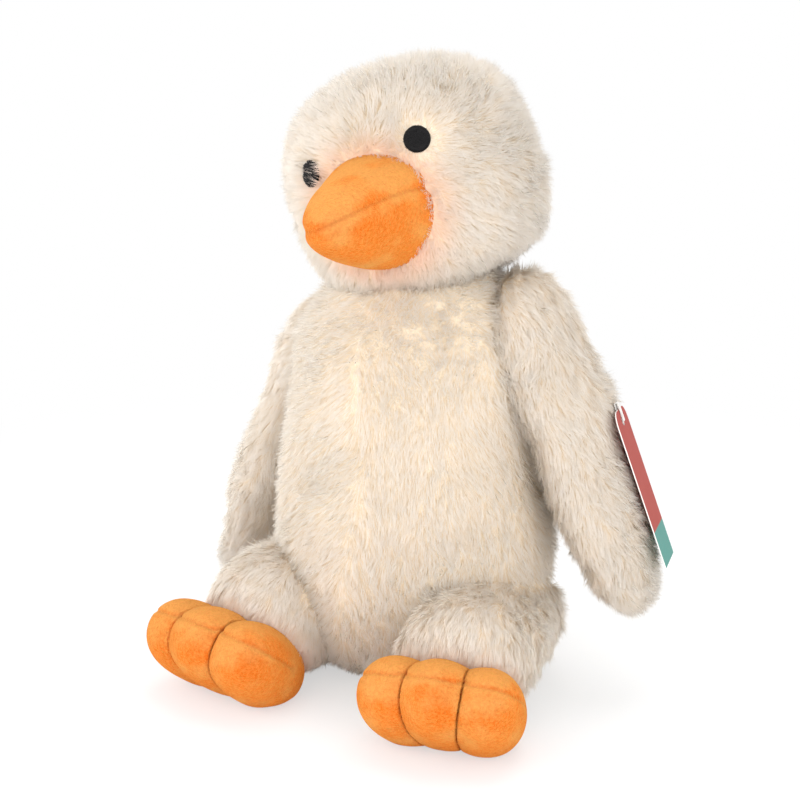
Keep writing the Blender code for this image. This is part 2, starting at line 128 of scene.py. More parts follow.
# %% Place the bags
body = Bag(
    width=BODY["width"],
    depth=BODY["depth"],
    above=BODY["top"] - BODY["belly"],
    below=BODY["belly"] + BODY["sag"],
    place=Matrix.Translation((0, 0, BODY["belly"])),
    squareness=0.88,
    taper=0.12,
)
head_middle = Vector((-0.002, 0.002, BODY["top"] - HEAD["neck"] + HEAD["height"] / 2))
head_turn = spin(math.radians(5), "Z") @ spin(math.radians(-20), "Y") @ spin(math.radians(-4), "X")
head = Bag(
    width=HEAD["width"],
    depth=HEAD["depth"],
    above=HEAD["height"] / 2,
    below=HEAD["height"] / 2,
    place=Matrix.Translation(head_middle) @ head_turn,
    squareness=0.67,
    taper=0.05,
)
beak_root = Matrix.Translation((0, BEAK["root"] - HEAD["depth"] / 2, BEAK["level"]))
beak_turn = spin(math.radians(-5), "Z") @ spin(math.radians(90 + 2), "X")
beak = Bag(
    width=BEAK["width"],
    depth=BEAK["height"],
    above=BEAK["root"] + BEAK["length"],
    below=BEAK["heel"],
    place=head.place @ beak_root @ beak_turn,
    taper=0.25,
)


def wing_bag(side, drop, inset, splay):
    """A wing that hangs from its root on the shoulder, splayed out from the body."""
    root = Vector((side * (BODY["width"] / 2 - inset), WING["back"], BODY["top"] - drop))
    hang = spin(-side * math.radians(splay), "Y") @ Matrix.Translation((0, 0, -WING["length"] / 2))
    half = WING["length"] / 2
    place = Matrix.Translation(root) @ hang
    return Bag(WING["thickness"], WING["width"], half, half, place, squareness=0.8)


def leg_place(side):
    across = side * (LEG["gap"] + LEG["diameter"]) / 2 + LEG["shift"]
    middle = Vector((across, LEG["back"] - BODY["depth"] / 2, LEG["diameter"] / 2 - LEG["sag"]))
    return Matrix.Translation(middle) @ spin(side * LEG["splay"], "Z")


def leg_bag(side):
    half = LEG["length"] / 2
    place = leg_place(side) @ spin(math.radians(90), "X")
    return Bag(LEG["diameter"], LEG["diameter"], half, half, place, squareness=0.5)


def foot_place(side):
    """The middle of a foot, with the toes along -Y and the top of the foot along +Z."""
    heel = FOOT["length"] / 2 * math.sin(FOOT["tilt"])
    sole = FOOT["thickness"] / 2 * math.cos(FOOT["tilt"])
    leg = leg_place(side)
    leg.translation.z = math.hypot(heel, sole) - FOOT["sag"]
    ahead = Matrix.Translation((0, -LEG["length"] / 2 - FOOT["ahead"], 0))
    return leg @ ahead @ spin(-FOOT["tilt"], "X")


def toe_bags(side):
    """Three toes that run into one another, fanned from the heel."""
    width = (FOOT["width"] + 2 * TOE["lap"]) / 3
    step = width - TOE["lap"]
    half = FOOT["length"] / 2
    toes = []
    for number in (-1, 0, 1):
        shift = Matrix.Translation((number * step, abs(number) * TOE["setback"], 0))
        fan = spin(number * TOE["fan"], "Z") @ spin(math.radians(90), "X")
        place = foot_place(side) @ shift @ fan
        toes.append(Bag(width, FOOT["thickness"], half, half, place, squareness=0.8))
    return toes


wings = {"left": wing_bag(1, 0.023, 0.023, 22), "right": wing_bag(-1, 0.051, 0.020, 21)}
legs = {word: leg_bag(side) for word, side in SIDES.items()}
feet = {word: toe_bags(side) for word, side in SIDES.items()}
print("head middle", [round(x, 3) for x in head_middle])

# %% Where the eyes lie
HALVINGS = 30  # of the stretch in which the surface of the head is looked for


def on_face(across, up, reach):
    """The point of the head's front that lies so far across and up its face."""
    low, high = 0.0, reach
    for _ in range(HALVINGS):
        middle = (low + high) / 2
        inside = head.holds(head.place @ Vector((across, -middle, up)))
        low, high = (middle, high) if inside else (low, middle)
    return head.place @ Vector((across, -low, up))


eye_spots = {
    word: on_face(side * EYE["spacing"] / 2, EYE["level"], HEAD["depth"] / 2)
    for word, side in SIDES.items()
}
print("eyes at", {word: [round(x, 3) for x in spot] for word, spot in eye_spots.items()})

# %% [markdown]
# ## The camera
#
# The photograph looks down on the duck a little, from its left front, with a long lens. The camera
# comes early, so that every step can be looked at through it.

# %% Camera
CAMERA_TURN = math.radians(29)
CAMERA_RISE = math.radians(17)
CAMERA_DISTANCE = 1.05
CAMERA_AIM = Vector((0, 0, 0.15))

back = Vector((
    math.sin(CAMERA_TURN) * math.cos(CAMERA_RISE),
    -math.cos(CAMERA_TURN) * math.cos(CAMERA_RISE),
    math.sin(CAMERA_RISE),
))
lens = bpy.data.cameras.new("camera")
lens.lens = 85
lens.sensor_width = 36
lens.shift_x = -0.018
lens.shift_y = 0.008
camera = bpy.data.objects.new("camera", lens)
camera.location = CAMERA_AIM + back * CAMERA_DISTANCE
camera.rotation_mode = "QUATERNION"
camera.rotation_quaternion = (-back).to_track_quat("-Z", "Y")
bpy.context.scene.collection.objects.link(camera)
bpy.context.scene.camera = camera
print("camera at", [round(x, 3) for x in camera.location])

# %% [markdown]
# ## Sums with sockets
#
# A shader and a Geometry Nodes tree are both made of nodes and links. Written out one by one they
# are hard to read. `Wire` wraps an output socket, so that Python's own operators add the Math nodes,
# and `Graph.add` is the one method that makes every other node.

# %% Graph and Wire
class Wire:
    """An output socket that Python's operators can reckon with."""

    def __init__(self, graph, socket):
        self.graph = graph
        self.socket = socket

    def sum(self, operation, *values):
        return self.graph.add("ShaderNodeMath", {"operation": operation}, *values)

    def __neg__(self):
        return self.sum("MULTIPLY", self, -1.0)


def operator(operation, swapped=False):
    """A method that makes one Math node of a wire and another value."""
    def method(wire, other):
        return wire.sum(operation, *((other, wire) if swapped else (wire, other)))
    return method


for word, operation in (("add", "ADD"), ("sub", "SUBTRACT"), ("mul", "MULTIPLY")):
    setattr(Wire, f"__{word}__", operator(operation))
    setattr(Wire, f"__r{word}__", operator(operation, swapped=True))


class Graph:
    """A node tree that is built by calls."""

    def __init__(self, tree):
        self.tree = tree

    def add(self, kind, settings, *values, **named):
        """Makes a node with its settings, fills its sockets, and returns its outputs.

        values fill the sockets in order. named fills them by name, with _ for a space.
        """
        node = self.tree.nodes.new(kind)
        for key, value in settings.items():
            setattr(node, key, value)
        open_sockets = [socket for socket in node.inputs if socket.enabled]
        by_name = {socket.name.replace(" ", "_"): socket for socket in open_sockets}
        pairs = list(zip(open_sockets, values))
        pairs += [(by_name[key], value) for key, value in named.items()]
        for socket, value in pairs:
            if isinstance(value, Wire):
                self.tree.links.new(value.socket, socket)
            elif value is not None:
                socket.default_value = value
        wires = [Wire(self, socket) for socket in node.outputs if socket.enabled]
        return wires[0] if len(wires) == 1 else wires

    def vector(self, operation, *values, **named):
        return self.add("ShaderNodeVectorMath", {"operation": operation}, *values, **named)

    def mix(self, factor, first, second, kind="RGBA"):
        return self.add("ShaderNodeMix", {"data_type": kind}, factor, first, second)

    def steps(self, value, low, high, smooth=True):
        """0 below low, 1 above high, and a smooth rise between them."""
        kind = "SMOOTHSTEP" if smooth else "LINEAR"
        settings = {"interpolation_type": kind}
        return self.add("ShaderNodeMapRange", settings, value, low, high, 0.0, 1.0)

    def speckle(self, where, scale, detail=2.0, roughness=0.5):
        """A noise value about 0.5, with patches of 1 / scale metres."""
        fac, _ = self.add(
            "ShaderNodeTexNoise", {}, Vector=where, Scale=scale, Detail=detail, Roughness=roughness
        )
        return fac


def finish_material(name, colour, rough, bump=None, depth=0.0, **constants):
    """A Principled material whose colour and bump come from functions of a graph."""
    material = bpy.data.materials.new(name)
    material.use_nodes = True
    graph = Graph(material.node_tree)
    surface = graph.tree.nodes["Principled BSDF"]
    _, _, _, place, *_ = graph.add("ShaderNodeTexCoord", {})
    graph.tree.links.new(colour(graph, place).socket, surface.inputs["Base Color"])
    surface.inputs["Roughness"].default_value = rough
    if bump:
        height = bump(graph, place)
        normal = graph.add("ShaderNodeBump", {}, Strength=1.0, Distance=depth, Height=height)
        graph.tree.links.new(normal.socket, surface.inputs["Normal"])
    for socket, value in constants.items():
        surface.inputs[socket.replace("_", " ")].default_value = value
    return material


def mottled(scale, first, second, detail=2.0):
    """A colour function that mixes two colours in patches."""
    def colour(graph, place):
        return graph.mix(graph.speckle(place, scale, detail), first, second)
    return colour


def grain(scale, detail=2.0, roughness=0.5):
    """A bump function with an even grain."""
    def bump(graph, place):
        return graph.speckle(place, scale, detail, roughness)
    return bump


print("Graph ready")

# %% [markdown]
# ## The cloth under the fur
#
# Long pile fur is a knitted backing with thousands of strands knotted into it. The backing is the
# shape that a sewer cuts, so it comes first: one closed skin for each stuffed bag, 5 mm inside the
# surface that the eye sees. A little low noise makes it lumpy, as stuffing does, and
# where two panels are sewn together the skin is pulled in.

# %% A skin for one bag
SKIN = 0.0050  # how far the backing lies under the mean surface of the pile
FLOOR = 0.0004  # the lowest that a strand or a skin may reach
LUMP = 0.0018  # how far the stuffing makes a skin bulge or sink
LUMPS_PER_METRE = 26


def skin_mesh(name, bag, columns=96, rows=64, grow=-SKIN, pull=None, lump=LUMP):
    """A closed, slightly lumpy skin that follows a bag, pulled in by pull(point) along its seams."""
    form = bmesh.new()
    even = (1 + 1 / bag.squareness) / 2
    rings = []
    for row in range(1, rows):
        rise = math.sin(math.pi * (0.5 - row / rows))
        height = math.copysign(abs(rise) ** even, rise)
        flat = math.sqrt(1 - height * height)
        turns = [math.tau * column / columns for column in range(columns)]
        units = [Vector((flat * math.cos(turn), flat * math.sin(turn), height)) for turn in turns]
        rings.append([form.verts.new(bag.press(unit, grow)) for unit in units])
    for upper, lower in zip(rings, rings[1:]):
        for here in range(columns):
            there = (here + 1) % columns
            form.faces.new((upper[here], lower[here], lower[there], upper[there]))
    for ring, end, order in ((rings[0], 1, 1), (rings[-1], -1, -1)):
        pole = form.verts.new(bag.press(Vector((0, 0, end)), grow))
        for here in range(columns):
            corners = (ring[here], ring[(here + 1) % columns], pole)
            form.faces.new(corners[::order])
    form.normal_update()
    mesh = bpy.data.meshes.new(name)
    form.to_mesh(mesh)
    form.free()
    carve(mesh, pull, lump)
    return mesh


def carve(mesh, pull=None, lump=LUMP):
    """Makes a skin lumpy, and pulls it in by pull(point)."""
    moves = []
    for vertex in mesh.vertices:
        bulge = noise.fractal(vertex.co * LUMPS_PER_METRE, 0.8, 2.0, 3) * lump
        sink = pull(vertex.co) if pull else 0.0
        moves.append(vertex.normal * (bulge - sink))
    shift(mesh, moves)
    mesh.update()
    mesh.shade_smooth()


def shift(mesh, moves):
    """Moves every vertex, and keeps it above the floor."""
    for vertex, move in zip(mesh.vertices, moves):
        vertex.co += move
        vertex.co.z = max(vertex.co.z, FLOOR)


def store(mesh, name, values, kind="FLOAT"):
    """Stores a number or a vector for each vertex of a mesh."""
    layer = mesh.attributes.new(name, kind, "POINT")
    layer.data.foreach_set("value" if kind == "FLOAT" else "vector", values)


def new_piece(name, mesh, *materials):
    """An object at the origin that shows a mesh."""
    piece = bpy.data.objects.new(name, mesh)
    bpy.context.scene.collection.objects.link(piece)
    for material in materials:
        mesh.materials.append(material)
    return piece


# %% [markdown]
# ## Brushing
#
# Fur has a lie. The sewer's brush leaves it falling down the body, out from the beak, and parted
# along the seam of the belly. Each vertex of a skin carries that lie as a vector, with three
# numbers: how much pile grows there, how long it is, and how much painted orange bounce light it
# gets from the plush beside it. Where a skin runs into another bag nothing grows.

# %% Which way the pile lies
DOWN = Vector((0, 0, -1))


def parting(point):
    """How far a point on the belly lies to the side of the seam, which wanders a little."""
    return point.x + 0.004 + 0.006 * math.sin(point.z * 38)


def body_lie(point, normal):
    side = parting(point)
    strength = 0.30 + 0.9 * noise.noise(Vector((0, 0, point.z * 70)))
    apart = strength * math.exp(-abs(side) / 0.010) + 0.5 * math.exp(-abs(side) / 0.050)
    away = math.copysign(apart, side)
    front = max(0.0, -normal.y)
    flare = 0.5 if point.z < 0.07 else 0.0
    outward = Vector((point.x, point.y, 0)).normalized() * flare
    return DOWN + Vector((away * front, 0, 0)) + outward


def head_lie(point, normal):
    local = head.place.inverted() @ point
    from_beak = Vector((local.x, 0, local.z - BEAK["level"]))
    face = max(0.0, -(head.place.to_3x3().inverted() @ normal).y)
    out = head.place.to_3x3() @ from_beak.normalized()
    behind = head.place.to_3x3() @ Vector((0, 1, 0.2))
    lie = out * (0.4 + face) + DOWN * (1.0 - 0.6 * face) + behind * 0.35
    lie -= out * 0.9 * nearness(point, (beak,), 0.006) ** 2
    for word, push in (("left", 3.0), ("right", -0.5)):
        away = point - eye_spots[word]
        away -= normal * away.dot(normal)
        lie += away.normalized() * push * bell(away.length, 0.012)
    return lie


def wing_lie(bag, side):
    def lie(point, normal):
        local = bag.place.inverted() @ point
        fall = bag.place.to_3x3() @ Vector((0, local.y * 8, -1))
        top = max(0.0, local.z / bag.above) ** 3
        return fall + Vector((side * 2.2, -1.0, 0)) * top
    return lie


def leg_lie(side):
    toward = leg_place(side).to_3x3() @ Vector((0, -1, 0))

    def lie(point, normal):
        end = max(0.0, toward.dot(normal))
        return toward * 0.9 + DOWN * (0.8 + 1.2 * end)
    return lie


def nearness(point, bags, reach):
    """1 on the surface of a bag, and down to 0 in eight steps at a reach from it."""
    for step in range(1, 9):
        if any(bag.holds(point, reach * step / 8) for bag in bags):
            return 1 - (step - 1) / 8
    return 0.0


def painted_bounce_at(point):
    """How much painted orange bounce light the pile gets from the plush beside it."""
    return 0.45 * nearness(point, (beak, *feet["left"], *feet["right"]), 0.013) ** 2


def brush(mesh, lie, grows, pile):
    """Stores on a skin where pile grows, how long it is, which way it lies and which way is out."""
    vertices = [(vertex.co.copy(), vertex.normal.copy()) for vertex in mesh.vertices]
    ups, lies = [], []
    for point, normal in vertices:
        swirl = noise.noise_vector(point * 22) * 0.9 + noise.noise_vector(point * 60 + DOWN) * 0.35
        flatness = 1.0 + 0.5 * noise.noise(point * 35 + Vector((3, 0, 0)))
        along = lie(point, normal) * flatness + swirl
        along -= normal * along.dot(normal)
        ups.extend(normal)
        lies.extend(along)
    store(mesh, "up", ups, "FLOAT_VECTOR")
    store(mesh, "lie", lies, "FLOAT_VECTOR")
    growth = [float(grows(point, normal)) for point, normal in vertices]
    store(mesh, "growth", growth)
    store(mesh, "pile", [pile(point, normal) for point, normal in vertices])
    store(mesh, "blush", [painted_bounce_at(point) for point, _ in vertices])
    mesh.calc_loop_triangles()
    area = 0.0
    for face in mesh.loop_triangles:
        area += face.area * sum(growth[index] for index in face.vertices) / 3
    return area


print("brushes ready")

# %% [markdown]
# ## One strand, many times
#
# A strand is a narrow kite of two triangles, pointed at its hidden root and at its tip, that bends
# over as it rises. Its `along` value runs from 0 at the root to 1 at the tip, for the colours.
#
# Geometry Nodes plant it. Points are scattered over the skin, and each strand leans with the lie.
# Real pile also gathers in tufts: every strand is drawn towards the tip of the nearest of a second,
# sparser set of points. The shading normal is the skin's with only a little of the blade's, so that
# a tuft is shaded as one soft thing.

# %% The strand
def strand_object():
    points = [(0, 0, 0), (-0.5, -0.04, 0.42), (0.5, -0.04, 0.42), (0, -0.22, 1)]
    mesh = bpy.data.meshes.new("strand")
    mesh.from_pydata(points, [], [(2, 0, 1), (2, 1, 3)])
    store(mesh, "along", [point[2] for point in points])
    mesh.shade_smooth()
    return new_piece("strand", mesh)


strand = strand_object()


# %% The planting tree
BLADE_SHARE = 0.15  # how much of the shading normal is the blade's own


def start_tree(name, sockets):
    """A Geometry Nodes tree with its inputs, as a Graph and the wires of those inputs by name."""
    tree = bpy.data.node_groups.new(name, "GeometryNodeTree")
    tree.interface.new_socket("Geometry", in_out="INPUT", socket_type="NodeSocketGeometry")
    for label, kind in sockets.items():
        tree.interface.new_socket(label, in_out="INPUT", socket_type="NodeSocket" + kind)
    tree.interface.new_socket("Geometry", in_out="OUTPUT", socket_type="NodeSocketGeometry")
    graph = Graph(tree)
    wires = graph.add("NodeGroupInput", {})
    return graph, dict(zip(["Geometry", *sockets], wires))


def run_tree(graph, source, name, **values):
    """Runs a tree on an object once, and returns what it makes as a plain mesh."""
    modifier = source.modifiers.new("grow", "NODES")
    modifier.node_group = graph.tree
    for item in graph.tree.interface.items_tree:
        if item.in_out == "INPUT" and item.name in values:
            modifier[item.identifier] = values[item.name]
    depsgraph = bpy.context.evaluated_depsgraph_get()
    made = source.evaluated_get(depsgraph)
    mesh = bpy.data.meshes.new_from_object(made, preserve_all_data_layers=True, depsgraph=depsgraph)
    mesh.name = name
    source.modifiers.remove(modifier)
    return mesh


def named(graph, label, kind="FLOAT"):
    return graph.add("GeometryNodeInputNamedAttribute", {"data_type": kind}, Name=label)[0]


def chance(graph, low, high, seed, number=None):
    """A random number or vector between two others, for each point or for each number."""
    settings = {"data_type": "FLOAT" if isinstance(low, float) else "FLOAT_VECTOR"}
    return graph.add("FunctionNodeRandomValue", settings, low, high, number, seed)


def scatter(graph, surface, density, seed):
    kind = "GeometryNodeDistributePointsOnFaces"
    return graph.add(kind, {}, Mesh=surface, Density=density, Seed=seed)[0]


def aimed(graph, axis, vector):
    return graph.add("FunctionNodeAlignRotationToVector", {"axis": axis}, Vector=vector)


def planted(graph, points, piece, turn, size):
    kind = "GeometryNodeInstanceOnPoints"
    return graph.add(kind, {}, Points=points, Instance=piece, Rotation=turn, Scale=size)


def planting_tree():
    graph, given = start_tree("plant the pile", {
        "Strand": "Object", "Density": "Float", "Tufts": "Float", "Length": "Float",
        "Width": "Float", "Stand": "Float", "Gather": "Float", "Finish": "Material", "Seed": "Int",
    })
    growth, pile = named(graph, "growth"), named(graph, "pile")
    up, lie = named(graph, "up", "FLOAT_VECTOR"), named(graph, "lie", "FLOAT_VECTOR")
    place = graph.add("GeometryNodeInputPosition", {})
    _, ruffle = graph.add("ShaderNodeTexNoise", {}, Vector=place, Scale=140.0, Detail=1.0)
    ruffle = graph.vector("SUBTRACT", ruffle, (0.5, 0.5, 0.5))
    stand = graph.vector("SCALE", up, Scale=given["Stand"])
    stray = chance(graph, (-0.35,) * 3, (0.35,) * 3, 11)
    ruffle = graph.vector("ADD", graph.vector("SCALE", ruffle, Scale=2.1), stray)
    aim = graph.vector("ADD", graph.vector("ADD", stand, lie), ruffle)
    aim = graph.vector("NORMALIZE", aim)
    tip = graph.vector("ADD", place, graph.vector("SCALE", aim, Scale=given["Length"] * pile))

    roots = scatter(graph, given["Geometry"], given["Density"] * growth, given["Seed"])
    tufts = scatter(graph, given["Geometry"], given["Tufts"], given["Seed"] + 1)
    nearest = graph.add("GeometryNodeSampleNearest", {}, tufts)
    kind = {"data_type": "FLOAT_VECTOR"}
    tuft_tip = graph.add("GeometryNodeSampleIndex", kind, tufts, tip, nearest)
    tuft_luck = chance(graph, 0.0, 1.0, 5, nearest)
    pull = given["Gather"] * (0.35 + 0.65 * tuft_luck)
    target = graph.mix(pull, tip, tuft_tip, kind="VECTOR")
    reach = graph.vector("NORMALIZE", graph.vector("SUBTRACT", target, place))

    roll = chance(graph, (-0.5,) * 3, (0.5,) * 3, 9)
    turn = aimed(graph, "Z", reach)
    facing = graph.vector("ADD", up, roll)
    about = {"axis": "Y", "pivot_axis": "Z"}
    turn = graph.add("FunctionNodeAlignRotationToVector", about, turn, Vector=facing)
    length = given["Length"] * pile * chance(graph, 0.72, 1.12, 3)
    width = given["Width"] * chance(graph, 0.7, 1.3, 4)
    size = graph.add("ShaderNodeCombineXYZ", {}, width, length, length)

    shade = 0.55 * chance(graph, 0.0, 1.0, 7) + 0.45 * tuft_luck
    roots = graph.add("GeometryNodeStoreNamedAttribute", {}, roots, None, "shade", shade)
    blade = graph.add("GeometryNodeObjectInfo", {}, given["Strand"])[-1]
    strands = planted(graph, roots, blade, turn, size)
    strands = graph.add("GeometryNodeRealizeInstances", {}, strands)
    clear = graph.vector("MAXIMUM", place, (-9.0, -9.0, FLOOR))
    strands = graph.add("GeometryNodeSetPosition", {}, strands, Position=clear)
    normal = graph.add("GeometryNodeInputNormal", {})[0]
    soft = graph.vector("NORMALIZE", graph.mix(BLADE_SHARE, up, normal, kind="VECTOR"))
    free = {"mode": "FREE", "domain": "POINT"}
    strands = graph.add("GeometryNodeSetMeshNormal", free, strands, soft)
    strands = graph.add("GeometryNodeSetMaterial", {}, Geometry=strands, Material=given["Finish"])
    graph.add("NodeGroupOutput", {}, strands)
    return graph


planting = planting_tree()
print("planting tree:", len(planting.tree.nodes), "nodes")

# %% [markdown]
# ## Fur colours
#
# The pile is cream at its tips and tan towards its roots, where the strands stand dense: painted
# shade, for the light that is lost between them. Each strand is a little lighter or darker than its
# neighbours. Sheen stands for the soft rim of light that short hair gives, and the backing is a tan
# knit, painted darker still as shade for the gaps between the strands.

# %% Fur materials
TIP = (0.93, 0.90, 0.86, 1)
# The next two tans are painted shade, for the light that is lost between the strands at their roots
# and on the backing.
ROOT_SHADE = (0.90, 0.79, 0.64, 1)
KNIT_SHADE = (0.80, 0.68, 0.52, 1)
SHADOW = (0.91, 0.86, 0.785, 1)
# Painted bounce light: the orange that the plush beside the pile reflects onto it.
BOUNCE_ORANGE = (1.0, 0.70, 0.52, 1)


def attribute(graph, label):
    """A number that the mesh carries."""
    settings = {"attribute_name": label, "attribute_type": "GEOMETRY"}
    return graph.add("ShaderNodeAttribute", settings)[2]


def fur_colour(graph, place):
    along = attribute(graph, "along")
    shade = attribute(graph, "shade")
    patch = graph.speckle(place, 45.0, 2.0)
    strand_tint = graph.mix(shade, SHADOW, TIP)
    body_tint = graph.mix(graph.steps(patch, 0.35, 0.7) * 0.35, strand_tint, TIP)
    # Random patches that lean towards the tan of the roots.
    tan_patches = graph.steps(graph.speckle(place, 120.0, 2.0, 0.6), 0.56, 0.70)
    body_tint = graph.mix(tan_patches * 0.28, body_tint, ROOT_SHADE)
    # Painted shade: every strand darkens towards its root.
    pale = graph.mix(graph.steps(along, -0.1, 0.7), ROOT_SHADE, body_tint)
    # Painted bounce light: the pile near the beak and the feet is tinted orange.
    blush = attribute(graph, "blush")
    return graph.mix(blush, pale, BOUNCE_ORANGE)


def knit_colour(graph, place):
    # Painted shade: the backing is speckled between the two shaded tans.
    knit = graph.mix(graph.speckle(place, 60.0), ROOT_SHADE, KNIT_SHADE)
    # The backing gets the same painted orange bounce light.
    return graph.mix(attribute(graph, "blush") * 1.2, knit, BOUNCE_ORANGE)


fur_finish = finish_material(
    "long_fur", fur_colour, 0.75, Sheen_Weight=0.25, Sheen_Roughness=0.5, Specular_IOR_Level=0.25
)


def let_light_through(material, share):
    """Mixes a share of light that passes through a strand into a material."""
    graph = Graph(material.node_tree)
    surface = material.node_tree.nodes["Principled BSDF"]
    tint = surface.inputs["Base Color"].links[0].from_socket
    through = graph.add("ShaderNodeBsdfTranslucent", {}, Wire(graph, tint))
    mixed = graph.add("ShaderNodeMixShader", {}, share, Wire(graph, surface.outputs[0]), through)
    output = material.node_tree.nodes["Material Output"]
    material.node_tree.links.new(mixed.socket, output.inputs["Surface"])


let_light_through(fur_finish, 0.55)
backing_finish = finish_material("fur_backing", knit_colour, 0.9, grain(900.0), 0.0004)
print("fur materials ready")

# %% [markdown]
# ## Six furry bags
#
# The body, the head, two wings and two legs all grow in the same way, each from its own skin and its
# own lie. The number of strands is shared out by how much of each bag shows.

# %% Grow the fur
def outside(*neighbours, clear=-SKIN + 0.001):
    """Pile grows where no neighbouring bag's skin is in the way."""
    def grows(point, normal):
        return not any(bag.holds(point, clear) for bag in neighbours)
    return grows


def grow_fur(word, skin, lie, grows, triangles, seed, pile, **shape):
    """The backing and the pile of one bag, as two pieces that stand for its CAD panels."""
    area = brush(skin, lie, grows, pile)
    backing = new_piece(word + "_backing", skin, backing_finish)
    look = dict(
        Strand=strand, Density=triangles / 2 / area, Tufts=70000.0, Length=0.0095, Width=0.00040,
        Stand=1.4, Gather=0.45, Finish=fur_finish, Seed=len(word) * 7 + seed,
    )
    look.update(shape)
    mesh = run_tree(planting, backing, word + "_fur", **look)
    pelt = new_piece(word + "_fur", mesh)
    print(word, "strands:", len(mesh.polygons) // 2, "on", round(area * 1e4), "cm2")
    return backing, pelt


def belly_seam(point):
    front = 1.0 if point.y < 0 else 0.0
    return 0.0013 * bell(parting(point), 0.005) * front


def belly_crease(point):
    """Two soft folds where the belly sags over the legs."""
    front = clamp(-point.y / 0.03)
    depth = 0.0
    for height, slope, low, high in ((0.080, 0.30, 0.0, 0.075), (0.118, -0.15, -0.06, 0.05)):
        line = height + slope * point.x + 0.003 * math.sin(point.x * 90)
        ends = clamp(min((point.x - low) / 0.02, (high - point.x) / 0.02))
        depth += 0.0024 * ends * bell(point.z - line, 0.006)
    return depth * front


def shoulder(*neighbours):
    """A seam swells where two bags are sewn together at the shoulder, which closes the fold."""
    def pull(point):
        high = clamp((point.z - 0.150) / 0.04)
        return -0.010 * high * nearness(point, neighbours, 0.032)
    return pull


def seat_pile(*neighbours):
    """Pile is pressed short under the seat, and stands longer in the folds between two bags."""
    def pile(point, normal):
        fold = 0.12 * nearness(point, neighbours, 0.012)
        return (0.35 + 0.65 * clamp((point.z - 0.002) / 0.020)) * (1 + fold)
    return pile


def head_grows(point, normal):
    if body.holds(point, -SKIN) or beak.holds(point, -0.0014):
        return False
    beside = head.place.to_3x3() @ Vector((0.0095, 0, 0))
    for word, spot in (("left", eye_spots["left"]), ("right", eye_spots["right"] + beside)):
        bare = EYE["diameter"] / 2 + (0.0010 if word == "left" else -0.0026)
        if (point - spot).cross(normal).length < bare and (point - spot).length < 0.03:
            return False
    return True


def head_pile(point, normal):
    """The pile is shorter round the near eye and the beak, and longer over the far eye."""
    near = (point - eye_spots["left"]).cross(normal).length
    by_eye = 0.6 + 0.4 * clamp((near - 0.008) / 0.012)
    far = (point - eye_spots["right"]).length
    brow = 0.75 * bell(far, 0.012)
    return by_eye * (1 - 0.3 * nearness(point, (beak,), 0.010)) + brow


TRIANGLES = dict(body=195000, head=190000, wing=115000, leg=80000)  # two for each strand

furs = {}
swell = shoulder(*wings.values())
body_skin = skin_mesh(
    "body_backing", body,
    pull=lambda point: max(belly_seam(point), belly_crease(point)) + swell(point),
)
furs["body"] = grow_fur(
    "body", body_skin, body_lie, outside(head, *wings.values(), *legs.values()),
    TRIANGLES["body"], 1, pile=seat_pile(*wings.values()),
)
head_skin = skin_mesh("head_backing", head)
furs["head"] = grow_fur(
    "head", head_skin, head_lie, head_grows, TRIANGLES["head"], 2, pile=head_pile, Stand=1.15
)
for word, side in SIDES.items():
    name, bag = "wing_" + word, wings[word]
    skin = skin_mesh(name + "_backing", bag, 64, 64, grow=0.0015 - SKIN, pull=shoulder(body))
    furs[name] = grow_fur(
        name, skin, wing_lie(bag, side), outside(body, head),
        TRIANGLES["wing"], 3 + side, pile=seat_pile(body, head), Stand=0.9,
    )
    name, bag = "leg_" + word, legs[word]
    skin = skin_mesh(name + "_backing", bag, 64, 64, grow=0.0030 - SKIN)
    furs[name] = grow_fur(
        name, skin, leg_lie(side), outside(body, *feet[word], clear=-0.002),
        TRIANGLES["leg"], 6 + side, pile=seat_pile(body), Stand=0.6,
    )

# %% [markdown]
# ## Stuffing
#
# Stuffing presses a sewn bag outwards, and its seams hold it in. The bag is remeshed into one even
# skin, and Cloth presses on it from inside. It is a finishing touch: the toes swell by up to a
# millimetre and the beak by next to nothing, because its bag already has the full shape.

# %% Stuff a bag
def as_mesh(piece, modifier):
    """The mesh that a modifier makes of a piece, with the modifier taken off again."""
    made = piece.evaluated_get(bpy.context.evaluated_depsgraph_get())
    mesh = bpy.data.meshes.new_from_object(made)
    piece.modifiers.remove(modifier)
    piece.data = mesh
    return mesh


def stuff(mesh, held, pressure=140.0, cap=0.0022, voxel=0.0026):
    """Blows a bag up as stuffing does: cloth under pressure, held where held(point) is true."""
    piece = new_piece("bag", mesh)
    remesh = piece.modifiers.new("one skin", "REMESH")
    remesh.mode = "VOXEL"
    remesh.voxel_size = voxel
    flat = as_mesh(piece, remesh)
    rest = [vertex.co.copy() for vertex in flat.vertices]
    seams = piece.vertex_groups.new(name="seams")
    seams.add([vertex.index for vertex in flat.vertices if held(vertex.co)], 1.0, "REPLACE")
    full = flat
    cloth = piece.modifiers.new("stuffing", "CLOTH")
    cloth.settings.use_pressure = True
    cloth.settings.uniform_pressure_force = pressure
    cloth.settings.effector_weights.gravity = 0
    cloth.settings.mass = 0.002
    cloth.settings.vertex_group_mass = "seams"
    cloth.collision_settings.use_collision = False
    for moment in range(1, 21):
        bpy.context.scene.frame_set(moment)
    full = as_mesh(piece, cloth)
    bpy.context.scene.frame_set(1)
    swell = 0.0
    for vertex, start in zip(full.vertices, rest):
        move = vertex.co - start
        if move.length > cap:
            move *= cap / move.length
        swell = max(swell, move.length)
        vertex.co = start + move
    smooth = piece.modifiers.new("finer", "SUBSURF")
    smooth.levels = smooth.render_levels = 1
    fine = as_mesh(piece, smooth)
    bpy.data.objects.remove(piece)
    print("stuffed:", len(fine.polygons), "faces, swollen by up to", round(swell * 1000, 2), "mm")
    return fine


